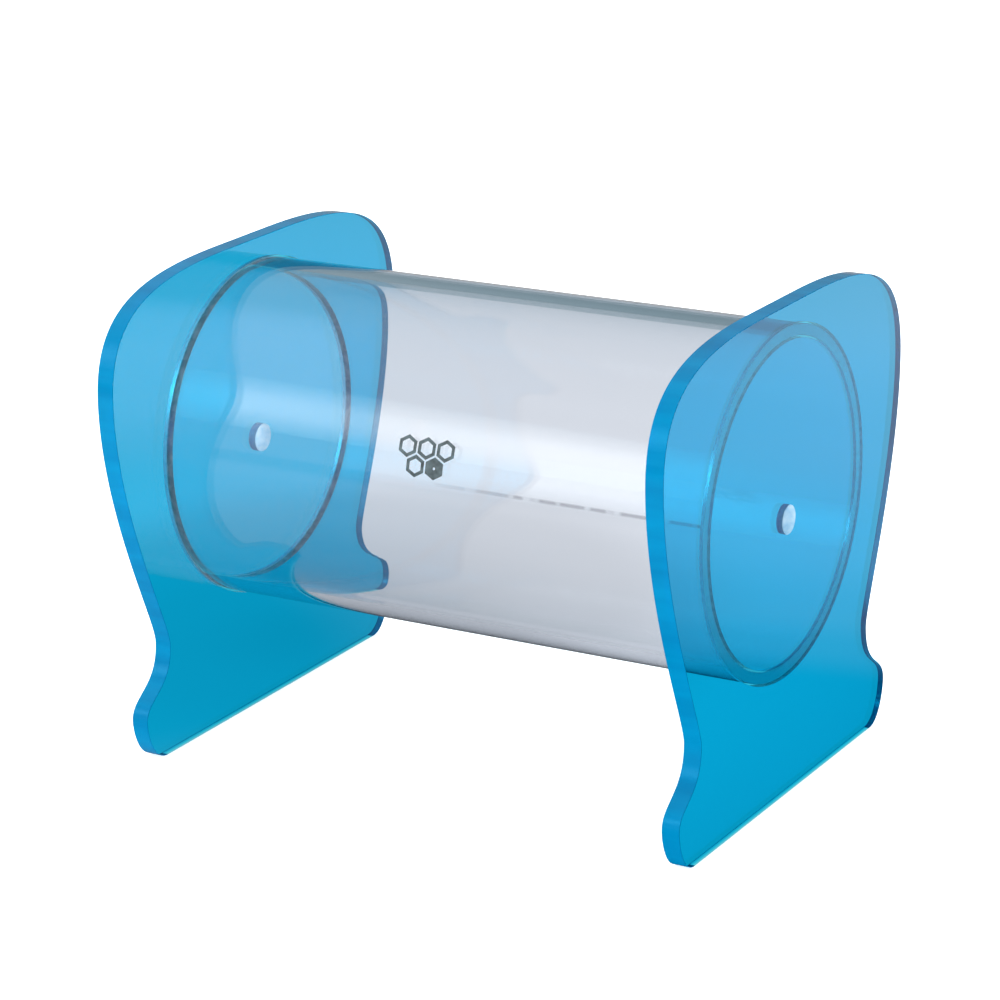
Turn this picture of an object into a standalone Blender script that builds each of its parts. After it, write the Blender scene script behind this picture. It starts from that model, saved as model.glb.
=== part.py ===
"""Queen cage: a clear tube held between two blue end plates that are also its feet.

World frame, in metres: the floor is z = 0, the tube runs along X, and the object is centred on x = 0 and y = 0.
Each end plate is a flat sheet with a ring channel routed into its inner face. The tube's end sits in the channel,
and the plate pulls straight off along X.
"""

import math

import bmesh
import bpy
from mathutils import Euler, Vector

MM = 0.001

# Tube
TUBE_OUTER_RADIUS = 30.0 * MM
TUBE_WALL = 2.0 * MM
TUBE_RIM_CHAMFER = 0.25 * MM

# Room between the end plates, and the plates' sheet
CHAMBER_LENGTH = 100.0 * MM
PLATE_THICKNESS = 3.2 * MM
PLATE_EDGE_BREAK = 0.15 * MM

# Channel that takes the tube's end, and the small hole a little below the tube's axis
CHANNEL_DEPTH = 1.6 * MM
FIT_GAP = 0.3 * MM
HOLE_RADIUS = 2.5 * MM
HOLE_DROP = 2.5 * MM

# Half of the plate's outline, measured from the tube's axis. Each stretch between two of these
# points is one smooth arc, and REACH is how far the arc keeps its direction at each end.
AXIS_HEIGHT = 51.2 * MM
CROWN_HEIGHT = 34.2 * MM
CROWN_HALF_WIDTH = 8.2 * MM
CROWN_REACH = 24.8 * MM
SHOULDER_HALF_WIDTH = 44.7 * MM
SHOULDER_HEIGHT = 14.7 * MM
SHOULDER_REACH_UP = 15.7 * MM
SHOULDER_REACH_DOWN = 19.8 * MM
WAIST_HALF_WIDTH = 31.8 * MM
WAIST_HEIGHT = -31.3 * MM
WAIST_REACH_UP = 4.0 * MM
WAIST_REACH_DOWN = 8.4 * MM
FOOT_HALF_WIDTH = 39.6 * MM
FOOT_HEIGHT = -43.6 * MM
FOOT_REACH_UP = 4.7 * MM
FOOT_REACH_DOWN = 2.2 * MM
SOLE_HALF_WIDTH = 33.8 * MM
SOLE_REACH = 4.3 * MM

ARC_STEPS = 14
ROUND_STEPS = 128
HOLE_STEPS = 48
CUT_OVERRUN = 1.0 * MM
WELD_DISTANCE = 0.00001
FLAT_ANGLE = math.radians(0.05)
SMOOTH_ANGLE = math.radians(30)

# The plate is drawn flat in its local XY plane. This turn stands it up across the tube:
# local X becomes world Y, local Y becomes world Z and local Z becomes world X.
STAND_UP = Euler((math.pi / 2, 0.0, math.pi / 2))
AXIS_POINT = Vector((0.0, 0.0, AXIS_HEIGHT))


def clear_scene():
    for old in list(bpy.data.objects):
        bpy.data.objects.remove(old, do_unlink=True)


def new_collection(name):
    collection = bpy.data.collections.new(name)
    bpy.context.scene.collection.children.link(collection)
    return collection


def material(name, colour, roughness, transmission, ior=1.49):
    made = bpy.data.materials.new(name)
    made.use_nodes = True
    made.diffuse_color = (*colour, 1.0)
    shader = made.node_tree.nodes["Principled BSDF"]
    shader.inputs["Base Color"].default_value = (*colour, 1.0)
    shader.inputs["Roughness"].default_value = roughness
    shader.inputs["Metallic"].default_value = 0.0
    shader.inputs["Transmission Weight"].default_value = transmission
    shader.inputs["IOR"].default_value = ior
    return made


def clear_acrylic():
    return material("clear_acrylic", (0.93, 0.95, 0.98), 0.03, 1.0)


def blue_acrylic():
    return material("blue_acrylic", (0.03, 0.42, 0.72), 0.04, 0.75)


def smooth(obj):
    obj.data.shade_smooth()
    obj.data.set_sharp_from_angle(angle=SMOOTH_ANGLE)


def turned(name, profile, collection, steps):
    """A closed profile of (radius, height) points, turned about local Z. It runs down its outer side."""
    mesh = bpy.data.meshes.new(name)
    points = [(radius, 0.0, height) for radius, height in profile]
    edges = [(i, (i + 1) % len(points)) for i in range(len(points))]
    mesh.from_pydata(points, edges, [])
    obj = bpy.data.objects.new(name, mesh)
    collection.objects.link(obj)
    screw = obj.modifiers.new("Turn", "SCREW")
    screw.axis = "Z"
    screw.steps = steps
    screw.render_steps = steps
    screw.use_merge_vertices = True
    screw.merge_threshold = WELD_DISTANCE
    return obj


def as_mesh(obj):
    """The same object with its modifiers applied, or a curve made into a mesh with its caps welded on.

    Flat stretches become single faces with no spare points along their edges.
    """
    graph = bpy.context.evaluated_depsgraph_get()
    mesh = bpy.data.meshes.new_from_object(obj.evaluated_get(graph))
    mesh.name = obj.name
    edit = bmesh.new()
    edit.from_mesh(mesh)
    bmesh.ops.remove_doubles(edit, verts=edit.verts, dist=WELD_DISTANCE)
    bmesh.ops.dissolve_limit(edit, angle_limit=FLAT_ANGLE, verts=edit.verts, edges=edit.edges)
    bmesh.ops.recalc_face_normals(edit, faces=edit.faces)
    edit.to_mesh(mesh)
    edit.free()
    name = obj.name
    place = obj.matrix_world.copy()
    homes = list(obj.users_collection)
    bpy.data.objects.remove(obj, do_unlink=True)
    made = bpy.data.objects.new(name, mesh)
    for home in homes:
        home.objects.link(made)
    made.matrix_world = place
    return made


def viewing_tube(parts):
    """The clear tube, long enough to sit in both channels a small gap short of their floors."""
    seat_depth = CHANNEL_DEPTH - FIT_GAP
    half = CHAMBER_LENGTH / 2 + seat_depth
    outer = TUBE_OUTER_RADIUS
    inner = TUBE_OUTER_RADIUS - TUBE_WALL
    cut = TUBE_RIM_CHAMFER
    profile = [
        (outer - cut, half),
        (outer, half - cut),
        (outer, cut - half),
        (outer - cut, -half),
        (inner + cut, -half),
        (inner, cut - half),
        (inner, half - cut),
        (inner + cut, half),
    ]
    tube = turned("viewing_tube", profile, parts, ROUND_STEPS)
    tube.location = AXIS_POINT
    tube.rotation_euler = (0.0, math.pi / 2, 0.0)
    bpy.context.view_layer.update()
    tube = as_mesh(tube)
    tube.data.materials.append(clear_acrylic())
    smooth(tube)


def outline_points():
    """The plate's outline clockwise from the crown's +X end, as (point, handle before, handle after)."""
    right = [
        ((CROWN_HALF_WIDTH, CROWN_HEIGHT), (-CROWN_HALF_WIDTH / 2, 0.0), (CROWN_REACH, 0.0)),
        ((SHOULDER_HALF_WIDTH, SHOULDER_HEIGHT), (0.0, SHOULDER_REACH_UP), (0.0, -SHOULDER_REACH_DOWN)),
        ((WAIST_HALF_WIDTH, WAIST_HEIGHT), (0.0, WAIST_REACH_UP), (0.0, -WAIST_REACH_DOWN)),
        ((FOOT_HALF_WIDTH, FOOT_HEIGHT), (0.0, FOOT_REACH_UP), (0.0, -FOOT_REACH_DOWN)),
        ((SOLE_HALF_WIDTH, -AXIS_HEIGHT), (SOLE_REACH, 0.0), (-SOLE_HALF_WIDTH / 2, 0.0)),
    ]
    left = [
        ((-x, y), (-after_x, after_y), (-before_x, before_y))
        for (x, y), (before_x, before_y), (after_x, after_y) in reversed(right)
    ]
    return right + left


def plate_blank(name, parts):
    """The flat sheet cut to its outline, with its two long edges slightly broken."""
    curve = bpy.data.curves.new(name, "CURVE")
    curve.dimensions = "2D"
    curve.fill_mode = "BOTH"
    curve.resolution_u = ARC_STEPS
    curve.extrude = PLATE_THICKNESS / 2 - PLATE_EDGE_BREAK
    curve.bevel_depth = PLATE_EDGE_BREAK
    curve.bevel_resolution = 0
    curve.offset = -PLATE_EDGE_BREAK
    spline = curve.splines.new("BEZIER")
    outline = outline_points()
    spline.bezier_points.add(len(outline) - 1)
    for point, (place, before, after) in zip(spline.bezier_points, outline):
        here = Vector((*place, 0.0))
        point.co = here
        point.handle_left_type = "FREE"
        point.handle_right_type = "FREE"
        point.handle_left = here + Vector((*before, 0.0))
        point.handle_right = here + Vector((*after, 0.0))
    spline.use_cyclic_u = True
    blank = bpy.data.objects.new(name, curve)
    parts.objects.link(blank)
    return blank


def ring_cutter(name, side, cutters):
    """The channel: a ring a little wider than the tube's wall, from the inner face to the channel's floor."""
    outer = TUBE_OUTER_RADIUS + FIT_GAP
    inner = TUBE_OUTER_RADIUS - TUBE_WALL - FIT_GAP
    mouth = -side * (PLATE_THICKNESS / 2 + CUT_OVERRUN)
    floor = -side * (PLATE_THICKNESS / 2 - CHANNEL_DEPTH)
    high = max(mouth, floor)
    low = min(mouth, floor)
    return turned(name, [(outer, high), (outer, low), (inner, low), (inner, high)], cutters, ROUND_STEPS)


def hole_cutter(name, cutters):
    edit = bmesh.new()
    bmesh.ops.create_cone(
        edit,
        cap_ends=True,
        segments=HOLE_STEPS,
        radius1=HOLE_RADIUS,
        radius2=HOLE_RADIUS,
        depth=PLATE_THICKNESS + 2 * CUT_OVERRUN,
    )
    mesh = bpy.data.meshes.new(name)
    edit.to_mesh(mesh)
    edit.free()
    cutter = bpy.data.objects.new(name, mesh)
    cutters.objects.link(cutter)
    return cutter


def cut(obj, cutter):
    cutter.hide_render = True
    cutter.display_type = "WIRE"
    boolean = obj.modifiers.new(cutter.name, "BOOLEAN")
    boolean.operation = "DIFFERENCE"
    boolean.solver = "EXACT"
    boolean.object = cutter


def end_plate(name, side, parts, cutters, finish):
    """One end plate. side is -1 at the tube's -X end and +1 at its +X end."""
    centre_x = side * (CHAMBER_LENGTH + PLATE_THICKNESS) / 2
    place = AXIS_POINT + Vector((centre_x, 0.0, 0.0))
    plate = plate_blank(name, parts)
    plate.location = place
    plate.rotation_euler = STAND_UP
    bpy.context.view_layer.update()
    plate = as_mesh(plate)
    plate.data.materials.append(finish)
    channel = ring_cutter(name + "_channel", side, cutters)
    channel.location = place
    hole = hole_cutter(name + "_hole", cutters)
    hole.location = place - Vector((0.0, 0.0, HOLE_DROP))
    for cutter in (channel, hole):
        cutter.rotation_euler = STAND_UP
        cut(plate, cutter)
    bpy.context.view_layer.update()
    smooth(plate)


def main():
    clear_scene()
    parts = new_collection("queen_cage")
    cutters = new_collection("cutters")
    cutters.hide_render = True
    viewing_tube(parts)
    blue = blue_acrylic()
    end_plate("left_end_plate", -1, parts, cutters, blue)
    end_plate("right_end_plate", 1, parts, cutters, blue)


main()
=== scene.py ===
"""Looks for the queen cage: a clear tube in two blue sheet end plates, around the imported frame."""

import math

import bmesh
import bpy
from mathutils import Euler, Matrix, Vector


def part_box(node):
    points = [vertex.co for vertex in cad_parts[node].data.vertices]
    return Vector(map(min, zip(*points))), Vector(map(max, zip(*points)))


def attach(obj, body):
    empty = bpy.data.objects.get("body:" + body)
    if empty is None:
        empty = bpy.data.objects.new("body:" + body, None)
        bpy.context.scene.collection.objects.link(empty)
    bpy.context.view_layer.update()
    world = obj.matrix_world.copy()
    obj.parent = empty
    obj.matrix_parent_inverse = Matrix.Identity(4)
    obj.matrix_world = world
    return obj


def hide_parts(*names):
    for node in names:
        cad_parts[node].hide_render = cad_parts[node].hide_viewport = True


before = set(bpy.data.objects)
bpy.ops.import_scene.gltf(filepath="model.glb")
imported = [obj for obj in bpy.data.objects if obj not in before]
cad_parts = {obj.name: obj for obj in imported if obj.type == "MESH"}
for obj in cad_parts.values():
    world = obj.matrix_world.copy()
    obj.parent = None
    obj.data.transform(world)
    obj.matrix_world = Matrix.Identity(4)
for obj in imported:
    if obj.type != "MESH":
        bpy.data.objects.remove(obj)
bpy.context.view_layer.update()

MM = 0.001

# What the frame says
TUBE_LOW, TUBE_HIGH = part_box("viewing_tube")
PLATE_LOW, PLATE_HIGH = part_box("right_end_plate")
AXIS_HEIGHT = (TUBE_LOW.z + TUBE_HIGH.z) / 2
TUBE_RADIUS = (TUBE_HIGH.z - TUBE_LOW.z) / 2
TUBE_HALF_LENGTH = (TUBE_HIGH.x - TUBE_LOW.x) / 2
PLATE_THICKNESS = PLATE_HIGH.x - PLATE_LOW.x
CROWN_HEIGHT = PLATE_HIGH.z - AXIS_HEIGHT
SHOULDER_HALF_WIDTH = PLATE_HIGH.y

# The rest of the design's sizes
TUBE_WALL = 2.0 * MM
CHANNEL_DEPTH = 1.6 * MM
FIT_GAP = 0.3 * MM
HOLE_RADIUS = 2.5 * MM
HOLE_DROP = 2.5 * MM
CROWN_HALF_WIDTH = 8.2 * MM
CROWN_REACH = 24.8 * MM
SHOULDER_HEIGHT = 14.7 * MM
SHOULDER_REACH_UP = 15.7 * MM
SHOULDER_REACH_DOWN = 19.8 * MM
WAIST_HALF_WIDTH = 31.8 * MM
WAIST_HEIGHT = -31.3 * MM
WAIST_REACH_UP = 4.0 * MM
WAIST_REACH_DOWN = 8.4 * MM
FOOT_HALF_WIDTH = 39.6 * MM
FOOT_HEIGHT = -43.6 * MM
FOOT_REACH_UP = 4.7 * MM
FOOT_REACH_DOWN = 2.2 * MM
SOLE_HALF_WIDTH = 33.8 * MM
SOLE_REACH = 4.3 * MM

# Fine detail that only the looks have
RIM_ROUND = 0.2 * MM
EDGE_ROUND = 0.12 * MM
ROUND_STEPS = 256
HOLE_STEPS = 96
ARC_STEPS = 40
CUT_OVERRUN = 1.0 * MM
WELD_DISTANCE = 0.005 * MM
FLAT_ANGLE = math.radians(0.02)
SMOOTH_ANGLE = math.radians(32)

AXIS_POINT = Vector((0.0, 0.0, AXIS_HEIGHT))
# Turns a plate drawn flat in its local XY plane to stand across the tube
STAND_UP = Euler((math.pi / 2, 0.0, math.pi / 2))

# A painted dark line along the tube's front, just below the key light's reflection: painted shade for
# the dark lower edge of that reflection. It fades out below the printed mark.
SHADE_LINE_ANGLE = math.radians(9.2)
SHADE_LINE_HEIGHT = AXIS_HEIGHT + TUBE_RADIUS * math.sin(SHADE_LINE_ANGLE)
SHADE_LINE_REACH = TUBE_RADIUS * math.cos(SHADE_LINE_ANGLE)
SHADE_LINE_WIDTH = 0.4 * MM
SHADE_LINE_FADE = 20.0 * MM

# The printed mark on the tube: five cells of a comb
MARK_X = 1.0 * MM
MARK_ANGLE = math.radians(17)
CELL_RADIUS = 1.9 * MM
CELL_WALL = 0.65 * MM
CELL_SIDE_STEPS = 8
# The filled cell is printed in to this small dot
FILLED_CELL_DOT = CELL_WALL * 0.4
INK_LIFT = 0.02 * MM
INK_DEPTH = 0.04 * MM

# How frosted the channel's walls are. Its floor is left clear.
MILLED_SHARE = 0.6

# The colour that light keeps inside each plastic, and how fast it loses the rest, per metre
CLEAR_COLOUR = (0.17, 0.50, 0.82)
CLEAR_DENSITY = 46.0
BLUE_COLOUR = (0.0, 0.892, 0.975)
BLUE_DENSITY = 1500.0
ACRYLIC_IOR = 1.49

# Studio
FLOOR_SIZE = 8.0
FLOOR_GLOW = 0.75
RAY_KINDS = ("camera", "diffuse", "glossy", "transmission", "volume_scatter", "shadow")
KEY_TURN = math.radians(-32.0)
KEY_RISE = math.radians(26.5)
KEY_DISTANCE = 0.9
KEY_WIDTH = 1.0
KEY_HEIGHT = 0.44
KEY_STRENGTH = 2.2
KEY_SOFT_EDGE = 0.4
CAMERA_TURN = math.radians(30.26)
CAMERA_RISE = math.radians(17.86)
CAMERA_ROLL = math.radians(-1.02)
CAMERA_DISTANCE = 0.6042
CAMERA_LENS = 126.8
CAMERA_SENSOR = 36.0
CAMERA_AIM = AXIS_POINT + Vector((-0.3 * MM, -2.5 * MM, -6.2 * MM))


# --- node helpers ---

def node(tree, kind, **values):
    made = tree.nodes.new(kind)
    for key, value in values.items():
        setattr(made, key, value)
    return made


def new_material(name):
    made = bpy.data.materials.new(name)
    made.use_nodes = True
    return made, made.node_tree, made.node_tree.nodes["Principled BSDF"]


def noise(tree, scale, stretch=(1.0, 1.0, 1.0), detail=3.0, seed=0.0):
    """Noise over the object's own coordinates in metres, each first multiplied by its stretch."""
    place = node(tree, "ShaderNodeTexCoord")
    squeeze = node(tree, "ShaderNodeMapping")
    squeeze.inputs["Scale"].default_value = stretch
    squeeze.inputs["Location"].default_value = (seed, seed, seed)
    made = node(tree, "ShaderNodeTexNoise")
    made.inputs["Scale"].default_value = scale
    made.inputs["Detail"].default_value = detail
    tree.links.new(place.outputs["Object"], squeeze.inputs["Vector"])
    tree.links.new(squeeze.outputs["Vector"], made.inputs["Vector"])
    return made.outputs["Fac"]


def ranged(tree, value, low, high, to_low, to_high, smooth=False):
    made = node(tree, "ShaderNodeMapRange")
    made.interpolation_type = "SMOOTHSTEP" if smooth else "LINEAR"
    made.inputs["From Min"].default_value = low
    made.inputs["From Max"].default_value = high
    made.inputs["To Min"].default_value = to_low
    made.inputs["To Max"].default_value = to_high
    tree.links.new(value, made.inputs["Value"])
    return made.outputs["Result"]


def maths(tree, operation, first, second):
    made = node(tree, "ShaderNodeMath", operation=operation)
    for socket, value in zip(made.inputs, (first, second)):
        if isinstance(value, (int, float)):
            socket.default_value = value
        else:
            tree.links.new(value, socket)
    return made.outputs["Value"]


def colours(tree, value, low, high):
    """A colour that runs from low to high as value runs from 0.3 to 0.7."""
    made = node(tree, "ShaderNodeValToRGB")
    made.color_ramp.elements[0].position = 0.3
    made.color_ramp.elements[0].color = (*low, 1.0)
    made.color_ramp.elements[1].position = 0.7
    made.color_ramp.elements[1].color = (*high, 1.0)
    tree.links.new(value, made.inputs["Fac"])
    return made.outputs["Color"]


def blend(tree, share, first, second):
    """The first colour where share is 0 and the second where it is 1."""
    made = node(tree, "ShaderNodeMix", data_type="RGBA")
    tree.links.new(share, made.inputs["Factor"])
    # A Mix node has its two colours at inputs 6 and 7 and its mixed colour at output 2
    for socket, value in zip((made.inputs[6], made.inputs[7]), (first, second)):
        if isinstance(value, tuple):
            socket.default_value = value
        else:
            tree.links.new(value, socket)
    return made.outputs[2]


def mask(tree, name):
    """The number that each face of the mesh holds under this name."""
    made = node(tree, "ShaderNodeAttribute", attribute_type="GEOMETRY", attribute_name=name)
    return made.outputs["Fac"]


def bump(tree, shader, height, strength, distance):
    made = node(tree, "ShaderNodeBump")
    made.inputs["Strength"].default_value = strength
    made.inputs["Distance"].default_value = distance
    tree.links.new(height, made.inputs["Height"])
    tree.links.new(made.outputs["Normal"], shader.inputs["Normal"])


def absorb(tree, colour, density):
    """Plastic that takes up more of the light the further it passes through it."""
    made = node(tree, "ShaderNodeVolumeAbsorption")
    made.inputs["Color"].default_value = (*colour, 1.0)
    made.inputs["Density"].default_value = density
    tree.links.new(made.outputs["Volume"], tree.nodes["Material Output"].inputs["Volume"])


# --- materials ---

def painted_shade_line(tree):
    """Painted shade: 1 on a thin line along the tube's outer skin, broken up along its length, and 0
    elsewhere.
    """
    place = node(tree, "ShaderNodeTexCoord")
    parts = node(tree, "ShaderNodeSeparateXYZ")
    tree.links.new(place.outputs["Object"], parts.inputs["Vector"])
    off = maths(tree, "ABSOLUTE", maths(tree, "SUBTRACT", parts.outputs["Z"], SHADE_LINE_HEIGHT), 0.0)
    line = ranged(tree, off, SHADE_LINE_WIDTH * 0.4, SHADE_LINE_WIDTH, 1.0, 0.0)
    forward = maths(tree, "MULTIPLY", parts.outputs["Y"], -1.0)
    mid_wall = SHADE_LINE_REACH - TUBE_WALL / 2
    outer_skin = ranged(tree, forward, mid_wall, mid_wall + 0.1 * MM, 0.0, 1.0)
    breaks = noise(tree, 260.0, (1.0, 0.0, 0.0), 1.0, 0.4)
    broken = ranged(tree, breaks, 0.40, 0.48, 0.15, 1.0)
    length = ranged(tree, parts.outputs["X"], 0.0, SHADE_LINE_FADE, 0.0, 1.0)
    line = maths(tree, "MULTIPLY", line, outer_skin)
    return maths(tree, "MULTIPLY", line, maths(tree, "MULTIPLY", broken, length))


def clear_acrylic():
    """Extruded tube: polished, with faint lines along its length, one painted dark line for the lower
    edge of the key light's reflection, and sawn rims.
    """
    made, tree, shader = new_material("clear_acrylic_tube")
    sawn = mask(tree, "worked")
    grain = noise(tree, 1100.0, detail=4.0, seed=9.0)
    rim_tone = colours(tree, grain, (0.86, 0.92, 0.94), (0.95, 0.96, 0.96))
    # The line darkens the tube's colour: painted shade at the lower edge of the key light's reflection
    tone = blend(tree, painted_shade_line(tree), (1.0, 1.0, 1.0, 1.0), (0.42, 0.40, 0.42, 1.0))
    tree.links.new(blend(tree, sawn, tone, rim_tone), shader.inputs["Base Color"])
    frost = maths(tree, "MULTIPLY", sawn, ranged(tree, grain, 0.4, 0.6, 0.97, 1.0))
    tree.links.new(maths(tree, "SUBTRACT", 1.0, frost), shader.inputs["Transmission Weight"])
    shader.inputs["IOR"].default_value = ACRYLIC_IOR
    smear = ranged(tree, noise(tree, 60.0, seed=3.0), 0.45, 0.75, 0.0, 0.035)
    rough = maths(tree, "ADD", smear, maths(tree, "MULTIPLY", sawn, 0.3))
    tree.links.new(rough, shader.inputs["Roughness"])
    drawn_lines = noise(tree, 900.0, (0.004, 1.0, 1.0), 2.0, 1.0)
    bump(tree, shader, drawn_lines, 0.05, 0.02 * MM)
    absorb(tree, CLEAR_COLOUR, CLEAR_DENSITY)
    return made


def blue_acrylic():
    """Cast sheet: polished faces, a satin sawn edge in a deep blue, frosted milled and drilled cuts."""
    made, tree, shader = new_material("blue_acrylic_sheet")
    edge = mask(tree, "edge")
    milled = mask(tree, "milled")
    drilled = mask(tree, "drilled")
    grain = noise(tree, 700.0, detail=4.0, seed=5.0)

    # The sawn edge shows saw marks across the sheet's thickness, so their tone changes along the edge
    marks = noise(tree, 260.0, (0.12, 1.0, 1.0), 3.0, 2.0)
    edge_tone = colours(tree, marks, (0.0, 0.165, 0.35), (0.0, 0.22, 0.43))
    milled_tone = colours(tree, grain, (0.55, 0.85, 0.97), (0.9, 0.97, 1.0))
    drilled_tone = colours(tree, grain, (0.40, 0.70, 0.90), (0.80, 0.93, 1.0))
    tone = blend(tree, edge, (1.0, 1.0, 1.0, 1.0), edge_tone)
    tone = blend(tree, milled, tone, milled_tone)
    tone = blend(tree, drilled, tone, drilled_tone)
    tree.links.new(tone, shader.inputs["Base Color"])

    clear = ranged(tree, edge, 0.0, 1.0, 1.0, 0.12)
    frost = ranged(tree, grain, 0.4, 0.6, 0.7, 0.95)
    clear = maths(tree, "SUBTRACT", clear, maths(tree, "MULTIPLY", milled, frost))
    clear = maths(tree, "SUBTRACT", clear, maths(tree, "MULTIPLY", drilled, 0.85))
    tree.links.new(clear, shader.inputs["Transmission Weight"])

    smear = ranged(tree, noise(tree, 45.0, seed=7.0), 0.45, 0.75, 0.0, 0.03)
    rough = maths(tree, "ADD", smear, maths(tree, "MULTIPLY", edge, 0.08))
    rough = maths(tree, "ADD", rough, maths(tree, "MULTIPLY", milled, 0.3))
    rough = maths(tree, "ADD", rough, maths(tree, "MULTIPLY", drilled, 0.45))
    tree.links.new(rough, shader.inputs["Roughness"])

    shader.inputs["IOR"].default_value = ACRYLIC_IOR
    gleam = blend(tree, edge, (0.85, 0.95, 1.0, 1.0), (0.08, 0.6, 1.0, 1.0))
    tree.links.new(gleam, shader.inputs["Specular Tint"])
    waves = noise(tree, 35.0, seed=11.0)
    cuts = maths(tree, "MULTIPLY", maths(tree, "ADD", edge, milled), marks)
    bump(tree, shader, maths(tree, "ADD", waves, cuts), 0.05, 0.2 * MM)
    absorb(tree, BLUE_COLOUR, BLUE_DENSITY)
    return made


def ink():
    """Worn dark print: thinner in places, so the grey shifts over each cell."""
    made, tree, shader = new_material("print_ink")
    worn = noise(tree, 900.0, detail=4.0, seed=4.0)
    tone = colours(tree, worn, (0.02, 0.03, 0.035), (0.09, 0.12, 0.13))
    tree.links.new(tone, shader.inputs["Base Color"])
    tree.links.new(ranged(tree, worn, 0.3, 0.7, 0.35, 0.6), shader.inputs["Roughness"])
    return made


def floor_material():
    """Plain pale paper: nearly even, with a glow of its own so that it photographs white."""
    made, tree, shader = new_material("pale_floor")
    shade = ranged(tree, noise(tree, 3.0), 0.3, 0.7, 0.90, 0.93)
    mix = node(tree, "ShaderNodeCombineColor")
    for channel in mix.inputs:
        tree.links.new(shade, channel)
    tree.links.new(mix.outputs["Color"], shader.inputs["Base Color"])
    shader.inputs["Roughness"].default_value = 0.9
    shader.inputs["Specular IOR Level"].default_value = 0.1
    shader.inputs["Emission Color"].default_value = (1.0, 1.0, 1.0, 1.0)
    shader.inputs["Emission Strength"].default_value = FLOOR_GLOW
    return made


def glow_pool(tree, centre, reach, stops):
    """Brightness around a point on the floor. Stops are (share of the reach, brightness)."""
    place = node(tree, "ShaderNodeTexCoord")
    squeeze = node(tree, "ShaderNodeMapping", vector_type="TEXTURE")
    squeeze.inputs["Location"].default_value = (*centre, 0.0)
    squeeze.inputs["Scale"].default_value = (*reach, 1.0)
    length = node(tree, "ShaderNodeVectorMath", operation="LENGTH")
    tree.links.new(place.outputs["Object"], squeeze.inputs["Vector"])
    tree.links.new(squeeze.outputs["Vector"], length.inputs[0])
    ramp = node(tree, "ShaderNodeValToRGB")
    ramp.color_ramp.interpolation = "EASE"
    while len(ramp.color_ramp.elements) < len(stops):
        ramp.color_ramp.elements.new(0.5)
    for element, (share, bright) in zip(ramp.color_ramp.elements, stops):
        element.position = share
        element.color = (bright, bright, bright, 1.0)
    tree.links.new(length.outputs["Value"], ramp.inputs["Fac"])
    return ramp.outputs["Color"]


def card_material(name, colour, pools):
    """A glowing card for painted light and shade, as bright at each place as its pools are together."""
    made = bpy.data.materials.new(name)
    made.use_nodes = True
    tree = made.node_tree
    tree.nodes.clear()
    bright = glow_pool(tree, *pools[0])
    for pool in pools[1:]:
        bright = maths(tree, "ADD", bright, glow_pool(tree, *pool))
    glow = node(tree, "ShaderNodeEmission")
    glow.inputs["Color"].default_value = (*colour, 1.0)
    tree.links.new(bright, glow.inputs["Strength"])
    out = node(tree, "ShaderNodeOutputMaterial")
    tree.links.new(glow.outputs["Emission"], out.inputs["Surface"])
    return made


# --- shapes ---

def turned(name, profile, steps):
    """A closed profile of (radius, height) points turned about local Z. It runs down its outer side."""
    mesh = bpy.data.meshes.new(name)
    points = [(radius, 0.0, height) for radius, height in profile]
    edges = [(i, (i + 1) % len(points)) for i in range(len(points))]
    mesh.from_pydata(points, edges, [])
    made = bpy.data.objects.new(name, mesh)
    bpy.context.scene.collection.objects.link(made)
    screw = made.modifiers.new("Turn", "SCREW")
    screw.axis = "Z"
    screw.steps = steps
    screw.render_steps = steps
    screw.use_merge_vertices = True
    screw.merge_threshold = WELD_DISTANCE
    return made


def baked(obj, flatten=False):
    """The object as its modifiers leave it, as one welded mesh."""
    bpy.context.view_layer.update()
    graph = bpy.context.evaluated_depsgraph_get()
    mesh = bpy.data.meshes.new_from_object(obj.evaluated_get(graph))
    edit = bmesh.new()
    edit.from_mesh(mesh)
    bmesh.ops.remove_doubles(edit, verts=edit.verts, dist=WELD_DISTANCE)
    if flatten:
        bmesh.ops.dissolve_limit(edit, angle_limit=FLAT_ANGLE, verts=edit.verts, edges=edit.edges)
    bmesh.ops.recalc_face_normals(edit, faces=edit.faces)
    edit.to_mesh(mesh)
    edit.free()
    name = obj.name
    place = obj.matrix_world.copy()
    bpy.data.objects.remove(obj, do_unlink=True)
    made = bpy.data.objects.new(name, mesh)
    bpy.context.scene.collection.objects.link(made)
    made.matrix_world = place
    return made


def settle(obj):
    """Moves the object's place into its mesh, so that its own coordinates are the row's."""
    bpy.context.view_layer.update()
    obj.data.transform(obj.matrix_world)
    obj.matrix_world.identity()
    obj.data.shade_smooth()
    obj.data.set_sharp_from_angle(angle=SMOOTH_ANGLE)
    # Flat stretches stay optically flat right up to their rounded edges
    even = obj.modifiers.new("Even", "WEIGHTED_NORMAL")
    even.weight = 100
    even.keep_sharp = True


def quarter(centre, radius, start, steps=4):
    """Points of a quarter circle about centre, clockwise from the start angle in degrees."""
    return [
        (
            centre[0] + radius * math.cos(math.radians(start - 90.0 * i / steps)),
            centre[1] + radius * math.sin(math.radians(start - 90.0 * i / steps)),
        )
        for i in range(steps + 1)
    ]


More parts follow.
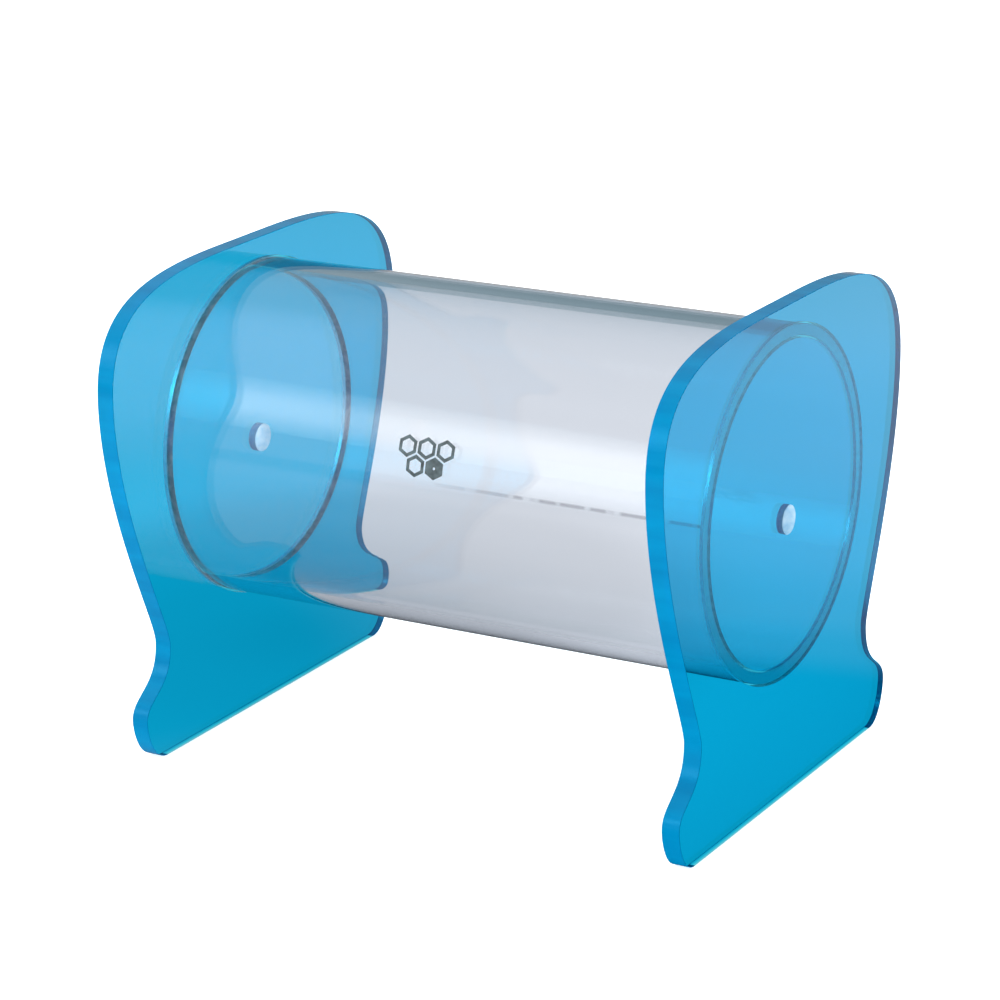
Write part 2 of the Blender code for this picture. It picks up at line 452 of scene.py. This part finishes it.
def tube_piece():
    outer = TUBE_RADIUS
    inner = TUBE_RADIUS - TUBE_WALL
    half = TUBE_HALF_LENGTH
    turn = RIM_ROUND
    profile = (
        quarter((outer - turn, half - turn), turn, 90.0)
        + quarter((outer - turn, turn - half), turn, 0.0)
        + quarter((inner + turn, turn - half), turn, 270.0)
        + quarter((inner + turn, half - turn), turn, 180.0)
    )
    tube = turned("clear_tube", profile, ROUND_STEPS)
    tube.location = AXIS_POINT
    tube.rotation_euler = (0.0, math.pi / 2, 0.0)
    tube = baked(tube)
    settle(tube)
    worked = tube.data.attributes.new("worked", "FLOAT", "FACE")
    for face, value in zip(tube.data.polygons, worked.data):
        value.value = 1.0 if abs(face.center.x) > half - turn * 1.01 else 0.0
    tube.data.materials.append(clear_acrylic())
    return tube


def mark_piece():
    """A printed mark: three cells of comb over two, one of them filled, as ink that follows the tube."""
    radius = TUBE_RADIUS + INK_LIFT
    pitch = 2 * CELL_RADIUS * math.cos(math.radians(30)) + CELL_WALL / 2
    row = pitch * math.sin(math.radians(60))
    places = [(-pitch, row / 2, False), (0.0, row / 2, False), (pitch, row / 2, False)]
    places += [(-pitch / 2, -row / 2, False), (pitch / 2, -row / 2, True)]
    edit = bmesh.new()
    for across, along, filled in places:
        inner_radius = FILLED_CELL_DOT if filled else CELL_RADIUS - CELL_WALL
        rings = []
        for ring_radius in (inner_radius, CELL_RADIUS):
            ring = []
            for corner in range(6):
                first = math.radians(90 + 60 * corner)
                second = math.radians(150 + 60 * corner)
                for step in range(CELL_SIDE_STEPS):
                    share = step / CELL_SIDE_STEPS
                    x = ring_radius * ((1 - share) * math.cos(first) + share * math.cos(second))
                    y = ring_radius * ((1 - share) * math.sin(first) + share * math.sin(second))
                    turn = MARK_ANGLE + (along + y) / radius
                    place = (
                        MARK_X + across + x,
                        -radius * math.cos(turn),
                        AXIS_HEIGHT + radius * math.sin(turn),
                    )
                    ring.append(edit.verts.new(place))
            rings.append(ring)
        count = len(rings[0])
        for i in range(count):
            j = (i + 1) % count
            edit.faces.new((rings[0][i], rings[1][i], rings[1][j], rings[0][j]))
    bmesh.ops.recalc_face_normals(edit, faces=edit.faces)
    mesh = bpy.data.meshes.new("printed_mark")
    edit.to_mesh(mesh)
    edit.free()
    mark = bpy.data.objects.new("printed_mark", mesh)
    bpy.context.scene.collection.objects.link(mark)
    film = mark.modifiers.new("Film", "SOLIDIFY")
    film.thickness = INK_DEPTH
    film.offset = 0.0
    mark.data.materials.append(ink())
    return mark


def outline_points():
    """The plate's outline clockwise from the crown's +X end, as (point, handle before, handle after)."""
    right = [
        ((CROWN_HALF_WIDTH, CROWN_HEIGHT), (-CROWN_HALF_WIDTH / 2, 0.0), (CROWN_REACH, 0.0)),
        ((SHOULDER_HALF_WIDTH, SHOULDER_HEIGHT), (0.0, SHOULDER_REACH_UP), (0.0, -SHOULDER_REACH_DOWN)),
        ((WAIST_HALF_WIDTH, WAIST_HEIGHT), (0.0, WAIST_REACH_UP), (0.0, -WAIST_REACH_DOWN)),
        ((FOOT_HALF_WIDTH, FOOT_HEIGHT), (0.0, FOOT_REACH_UP), (0.0, -FOOT_REACH_DOWN)),
        ((SOLE_HALF_WIDTH, -AXIS_HEIGHT), (SOLE_REACH, 0.0), (-SOLE_HALF_WIDTH / 2, 0.0)),
    ]
    left = [
        ((-x, y), (-after_x, after_y), (-before_x, before_y))
        for (x, y), (before_x, before_y), (after_x, after_y) in reversed(right)
    ]
    return right + left


def plate_blank(name):
    """The flat sheet cut to its outline, with its two long edges slightly rounded."""
    curve = bpy.data.curves.new(name, "CURVE")
    curve.dimensions = "2D"
    curve.fill_mode = "BOTH"
    curve.resolution_u = ARC_STEPS
    curve.extrude = PLATE_THICKNESS / 2 - EDGE_ROUND
    curve.bevel_depth = EDGE_ROUND
    curve.bevel_resolution = 2
    curve.offset = -EDGE_ROUND
    spline = curve.splines.new("BEZIER")
    outline = outline_points()
    spline.bezier_points.add(len(outline) - 1)
    for point, (place, before, after) in zip(spline.bezier_points, outline):
        here = Vector((*place, 0.0))
        point.co = here
        point.handle_left_type = "FREE"
        point.handle_right_type = "FREE"
        point.handle_left = here + Vector((*before, 0.0))
        point.handle_right = here + Vector((*after, 0.0))
    spline.use_cyclic_u = True
    blank = bpy.data.objects.new(name, curve)
    bpy.context.scene.collection.objects.link(blank)
    return blank


def ring_cutter(name, side):
    """The channel: a ring a little wider than the tube's wall, cut from the inner face to its floor."""
    outer = TUBE_RADIUS + FIT_GAP
    inner = TUBE_RADIUS - TUBE_WALL - FIT_GAP
    mouth = -side * (PLATE_THICKNESS / 2 + CUT_OVERRUN)
    floor = -side * (PLATE_THICKNESS / 2 - CHANNEL_DEPTH)
    high = max(mouth, floor)
    low = min(mouth, floor)
    return turned(name, [(outer, high), (outer, low), (inner, low), (inner, high)], ROUND_STEPS)


def hole_cutter(name):
    edit = bmesh.new()
    bmesh.ops.create_cone(
        edit,
        cap_ends=True,
        segments=HOLE_STEPS,
        radius1=HOLE_RADIUS,
        radius2=HOLE_RADIUS,
        depth=PLATE_THICKNESS + 2 * CUT_OVERRUN,
    )
    mesh = bpy.data.meshes.new(name)
    edit.to_mesh(mesh)
    edit.free()
    cutter = bpy.data.objects.new(name, mesh)
    bpy.context.scene.collection.objects.link(cutter)
    return cutter


def label_faces(plate, centre_x):
    """Labels the sawn edge, the channel's walls and the drilled hole for the sheet's material."""
    edge = plate.data.attributes.new("edge", "FLOAT", "FACE")
    milled = plate.data.attributes.new("milled", "FLOAT", "FACE")
    drilled = plate.data.attributes.new("drilled", "FLOAT", "FACE")
    outer_ring = TUBE_RADIUS + FIT_GAP * 1.1
    for index, face in enumerate(plate.data.polygons):
        across = abs(face.normal.x) < 0.9
        depth = PLATE_THICKNESS / 2 - abs(face.center.x - centre_x)
        away = math.hypot(face.center.y, face.center.z - AXIS_HEIGHT)
        hollow = depth > EDGE_ROUND and away < outer_ring
        near_hole = away < HOLE_RADIUS * 3
        drilled.data[index].value = 1.0 if hollow and near_hole else 0.0
        milled.data[index].value = MILLED_SHARE if across and hollow and not near_hole else 0.0
        edge.data[index].value = 1.0 if across and not hollow else 0.0


def plate_piece(name, side, finish):
    """One end plate. side is -1 at the tube's -X end and +1 at its +X end."""
    centre_x = side * (PLATE_LOW.x + PLATE_HIGH.x) / 2
    place = AXIS_POINT + Vector((centre_x, 0.0, 0.0))
    plate = plate_blank(name)
    plate.location = place
    plate.rotation_euler = STAND_UP
    plate = baked(plate, flatten=True)
    channel = ring_cutter(name + "_channel", side)
    channel.location = place
    hole = hole_cutter(name + "_hole")
    hole.location = place - Vector((0.0, 0.0, HOLE_DROP))
    for cutter in (channel, hole):
        cutter.rotation_euler = STAND_UP
        boolean = plate.modifiers.new(cutter.name, "BOOLEAN")
        boolean.operation = "DIFFERENCE"
        boolean.solver = "EXACT"
        boolean.object = cutter
    plate = baked(plate)
    for cutter in (channel, hole):
        bpy.data.objects.remove(cutter, do_unlink=True)
    settle(plate)
    label_faces(plate, centre_x)
    plate.data.materials.append(finish)
    return plate


# --- stage ---

def floor_sheet(name, material, sees):
    """One layer of the floor, for the kinds of ray that are in sees."""
    bpy.ops.mesh.primitive_plane_add(size=FLOOR_SIZE, location=(0.0, 0.0, 0.0))
    sheet = bpy.context.object
    sheet.name = name
    sheet.data.materials.append(material)
    for kind in RAY_KINDS:
        setattr(sheet, "visible_" + kind, kind in sees)


def make_floor():
    """The paper itself, and two glowing cards flush with it: one paints shade and sheen into what the
    clear pieces mirror, the other paints a shadow and a pool of light into what they show through.
    """
    floor_sheet("floor", floor_material(), ("camera", "diffuse", "volume_scatter", "shadow"))
    # Painted shade and sheen: the card is dark close round the cage, so reflections are shaded there,
    # and a bright ring farther out paints the plates' sheen
    painted_shade_stops = [(0.0, 0.0), (0.092, 0.0), (0.12, 0.16), (0.15, 0.32)]
    painted_sheen_stops = [(0.22, 0.52), (0.33, 0.75), (0.5, 1.0), (1.0, 0.4)]
    around = ((0.04, 0.0), (0.96, 0.6), painted_shade_stops + painted_sheen_stops)
    mirrored = card_material("painted_sheen_and_shade_card", (1.0, 1.0, 1.0), [around])
    floor_sheet("painted_sheen_and_shade_card", mirrored, ("glossy",))
    # Painted shadow: the card seen through the clear pieces is darker under the tube, and the second
    # pool, farther back towards +X, is a painted pool of light
    painted_shadow_stops = [(0.0, 0.64), (0.2, 0.69), (0.42, 0.74), (0.64, 0.92), (1.0, 0.82)]
    under = ((-0.065, 0.03), (0.135, 0.165), painted_shadow_stops)
    behind = ((0.115, 0.195), (0.13, 0.15), [(0.0, 1.2), (0.35, 1.1), (1.0, 0.0)])
    through = card_material("painted_shadow_and_light_card", (0.94, 0.935, 0.975), [under, behind])
    floor_sheet("painted_shadow_and_light_card", through, ("transmission",))


def make_world():
    """One large soft side, up and to the left of the front, in a room that is otherwise dim."""
    world = bpy.data.worlds.new("studio")
    bpy.context.scene.world = world
    world.use_nodes = True
    tree = world.node_tree
    background = tree.nodes["Background"]
    place = node(tree, "ShaderNodeTexCoord")
    facing = node(tree, "ShaderNodeVectorMath", operation="DOT_PRODUCT")
    facing.inputs[1].default_value = Vector((-0.72, -0.6, 0.36)).normalized()
    tree.links.new(place.outputs["Generated"], facing.inputs[0])
    side = ranged(tree, facing.outputs["Value"], -0.3, 0.9, 0.0, 1.0, smooth=True)
    strength = ranged(tree, side, 0.0, 1.0, 0.34, 0.95)
    # Satin and frosted faces get an even fill; polished ones still mirror the dim room
    bounced = node(tree, "ShaderNodeLightPath").outputs["Diffuse Depth"]
    fill = maths(tree, "MULTIPLY", maths(tree, "MINIMUM", bounced, 1.0), 0.95)
    tree.links.new(maths(tree, "ADD", strength, fill), background.inputs["Strength"])
    tint = blend(tree, side, (0.62, 0.84, 0.93, 1.0), (0.98, 0.99, 1.0, 1.0))
    tree.links.new(tint, background.inputs["Color"])


def panel_material(name, strength, soften):
    """A cloth panel: brightest in its middle, with edges that fade over the soften share."""
    made, tree, shader = new_material(name)
    place = node(tree, "ShaderNodeTexCoord")
    parts = node(tree, "ShaderNodeSeparateXYZ")
    tree.links.new(place.outputs["Generated"], parts.inputs["Vector"])
    fades = []
    for axis in ("X", "Y"):
        rise = ranged(tree, parts.outputs[axis], 0.0, soften, 0.0, 1.0)
        fall = ranged(tree, parts.outputs[axis], 1.0 - soften, 1.0, 1.0, 0.0)
        fades.append(maths(tree, "MULTIPLY", rise, fall))
    even = maths(tree, "MULTIPLY", fades[0], fades[1])
    strength = maths(tree, "MULTIPLY", even, strength)
    shader.inputs["Base Color"].default_value = (0.8, 0.8, 0.8, 1.0)
    shader.inputs["Emission Color"].default_value = (1.0, 0.96, 0.90, 1.0)
    tree.links.new(strength, shader.inputs["Emission Strength"])
    return made


def towards(turn, rise):
    """A unit vector out from the cage. turn goes from -Y towards +X, and rise goes up."""
    return Vector((math.sin(turn) * math.cos(rise), -math.cos(turn) * math.cos(rise), math.sin(rise)))


def make_key():
    """The key light: a glowing panel that faces the cage."""
    away = towards(KEY_TURN, KEY_RISE)
    bpy.ops.mesh.primitive_plane_add(size=1.0)
    panel = bpy.context.object
    panel.name = "key"
    panel.scale = (KEY_WIDTH, KEY_HEIGHT, 1.0)
    panel.location = AXIS_POINT + away * KEY_DISTANCE
    panel.rotation_euler = away.to_track_quat("Z", "Y").to_euler()
    panel.data.materials.append(panel_material("key", KEY_STRENGTH, KEY_SOFT_EDGE))


def make_camera():
    back = towards(CAMERA_TURN, CAMERA_RISE)
    data = bpy.data.cameras.new("camera")
    data.sensor_width = CAMERA_SENSOR
    data.lens = CAMERA_LENS
    data.clip_start = 0.01
    camera = bpy.data.objects.new("camera", data)
    bpy.context.scene.collection.objects.link(camera)
    camera.location = CAMERA_AIM + back * CAMERA_DISTANCE
    camera.rotation_mode = "QUATERNION"
    level = (-back).to_track_quat("-Z", "Y")
    camera.rotation_quaternion = level @ Euler((0.0, 0.0, CAMERA_ROLL)).to_quaternion()
    bpy.context.scene.camera = camera


def main():
    scene = bpy.context.scene
    scene.view_settings.view_transform = "Standard"
    make_camera()
    make_floor()
    make_world()
    make_key()
    tube = tube_piece()
    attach(tube, "tube")
    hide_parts("viewing_tube")
    mark = mark_piece()
    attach(mark, "tube")
    blue = blue_acrylic()
    for side, end in ((-1, "left"), (1, "right")):
        plate = plate_piece(end + "_plate", side, blue)
        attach(plate, end + "_end")
        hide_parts(end + "_end_plate")


main()
